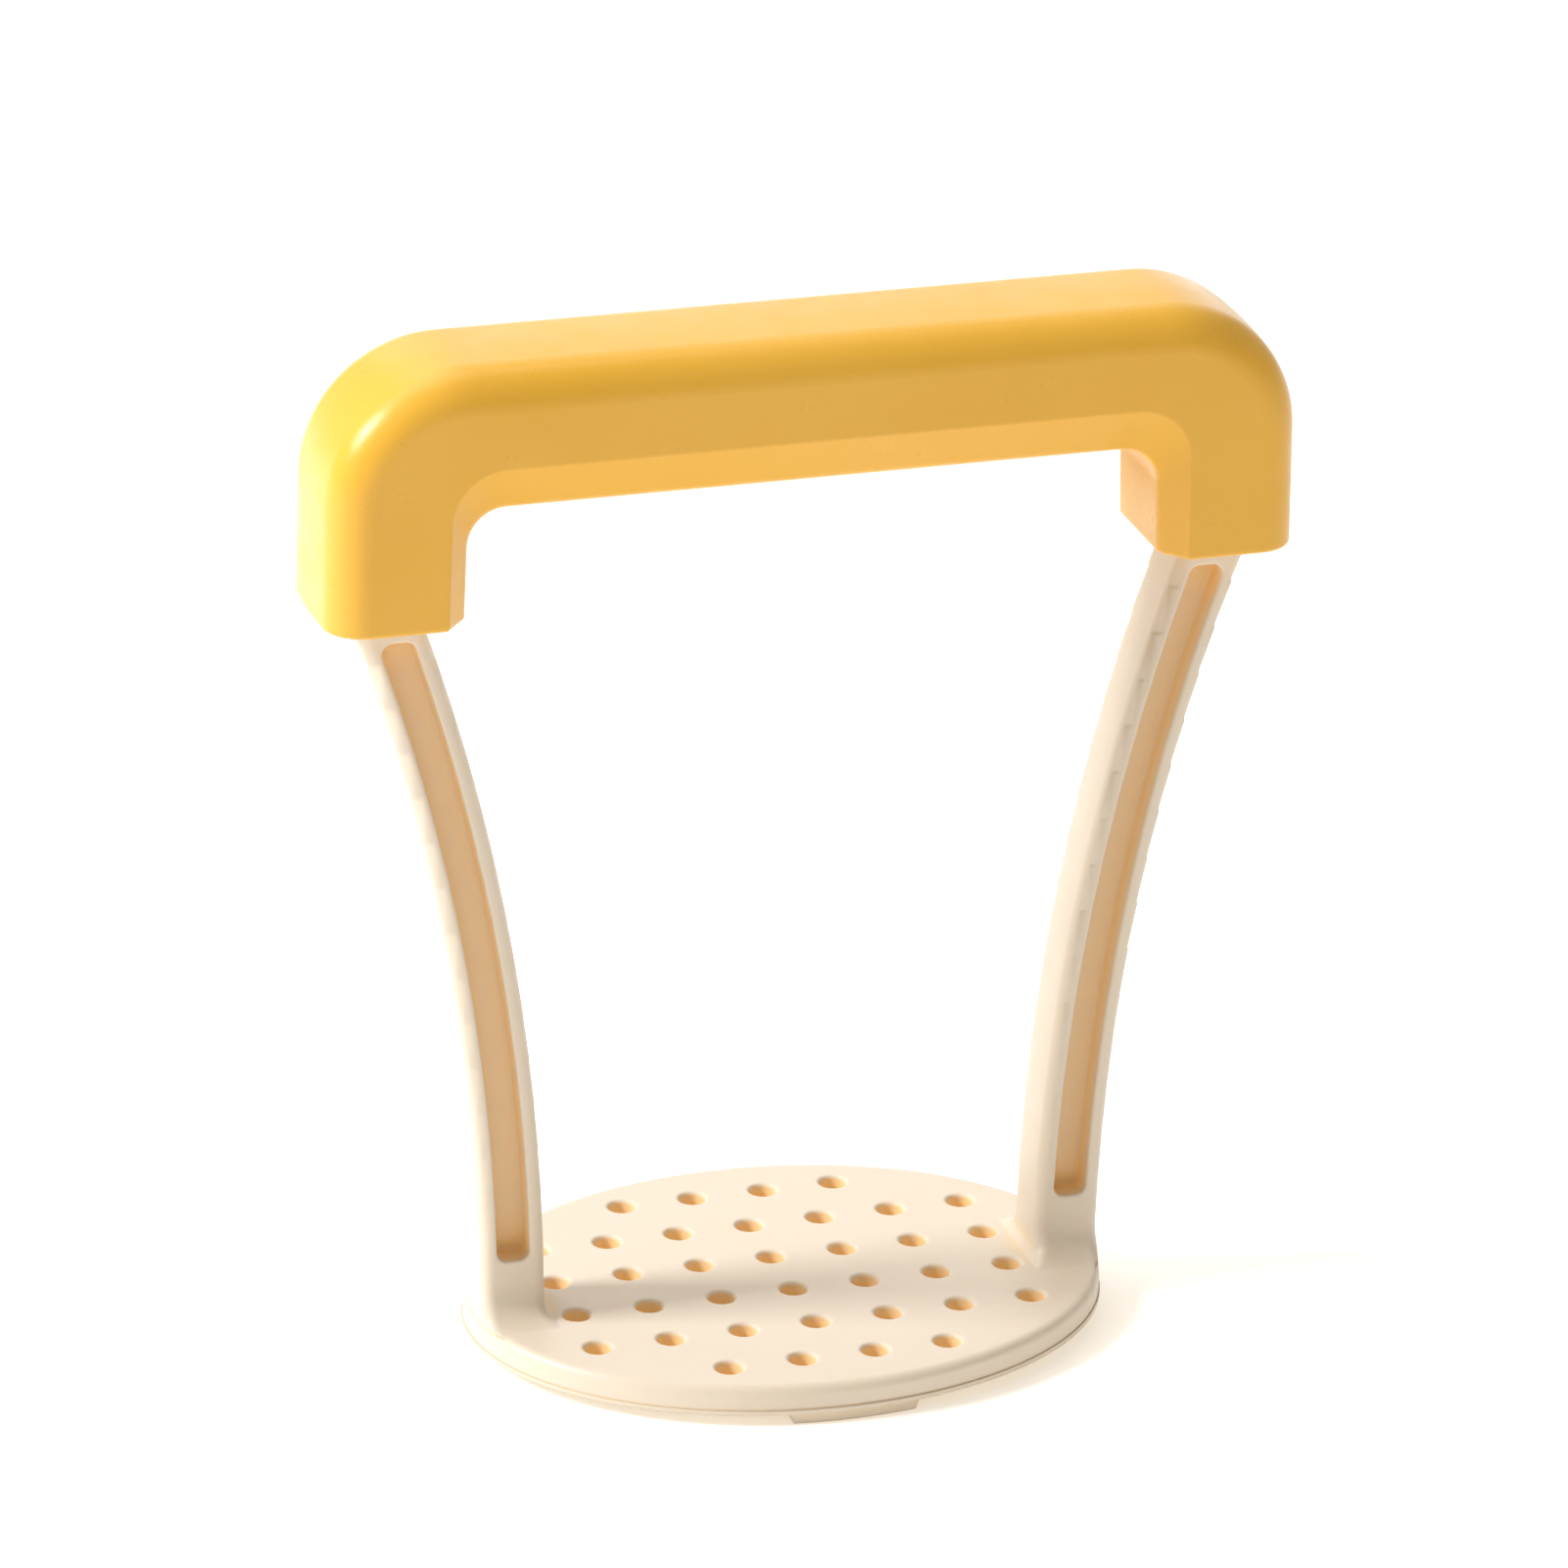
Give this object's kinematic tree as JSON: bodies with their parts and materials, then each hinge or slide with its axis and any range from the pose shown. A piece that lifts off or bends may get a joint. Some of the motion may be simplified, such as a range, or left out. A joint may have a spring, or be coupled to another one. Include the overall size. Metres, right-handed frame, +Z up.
{
  "type": "potato masher",
  "caption": "Small hand masher: oval perforated plate and two outward-curving H-section legs in one cream moulding, carried by a U-shaped yellow bar grip.",
  "frame": {"origin": "under the middle of the plate, on the surface that the two feet stand on", "axes": "+Z up, +X along the bar of the grip, +Y to the back across the grip"},
  "size_m": [0.12, 0.062, 0.13],
  "materials": {
    "cream_plastic": "satin moulded polypropylene, warm cream",
    "yellow_plastic": "satin moulded polypropylene, warm yellow",
    "yellow_strip": "satin moulded polypropylene, warm yellow, the same batch as the grip"
  },
  "bodies": {
    "root": {"masher_body": "cream_plastic", "grip_shell": "yellow_plastic", "grip_underside_strip": "yellow_strip"}
  },
  "joints": []
}
